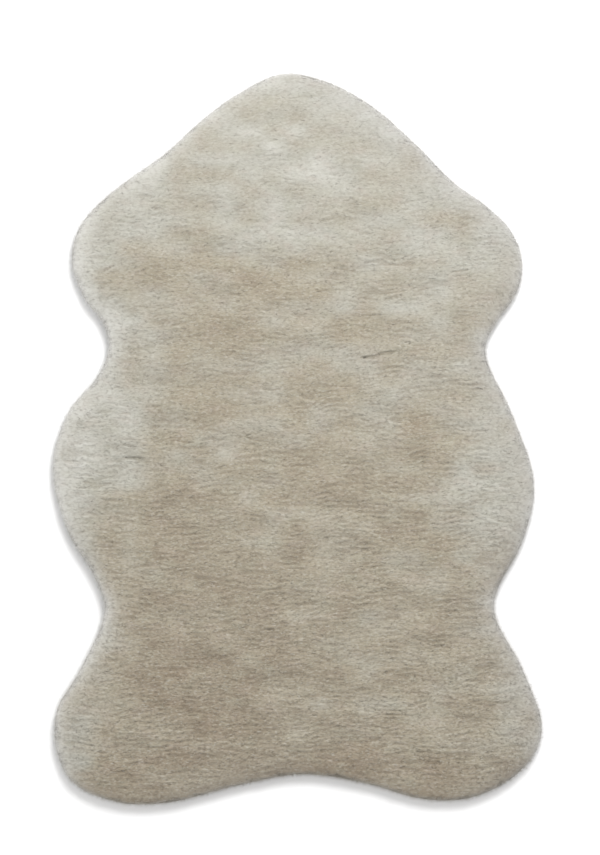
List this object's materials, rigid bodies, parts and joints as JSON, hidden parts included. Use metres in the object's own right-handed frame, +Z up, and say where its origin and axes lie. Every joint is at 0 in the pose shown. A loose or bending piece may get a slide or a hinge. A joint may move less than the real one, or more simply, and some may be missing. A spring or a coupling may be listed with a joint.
{
  "type": "shag rug",
  "caption": "Sheepskin-shaped rug with dense short cream pile, a lobed outline, rounded shaggy rim and flat underside, for laying on a floor.",
  "frame": {"origin": "middle of the rug's box, at the floor", "axes": "+Y towards the rounded crown along the rug's length, +X to the right seen from above with the crown away, +Z up out of the floor"},
  "size_m": [0.603, 0.9, 0.03],
  "materials": {
    "pile": "dense matt cream pile, crinkled, a little warmer and darker down between the locks"
  },
  "bodies": {
    "root": {"rug": "pile"}
  },
  "joints": []
}
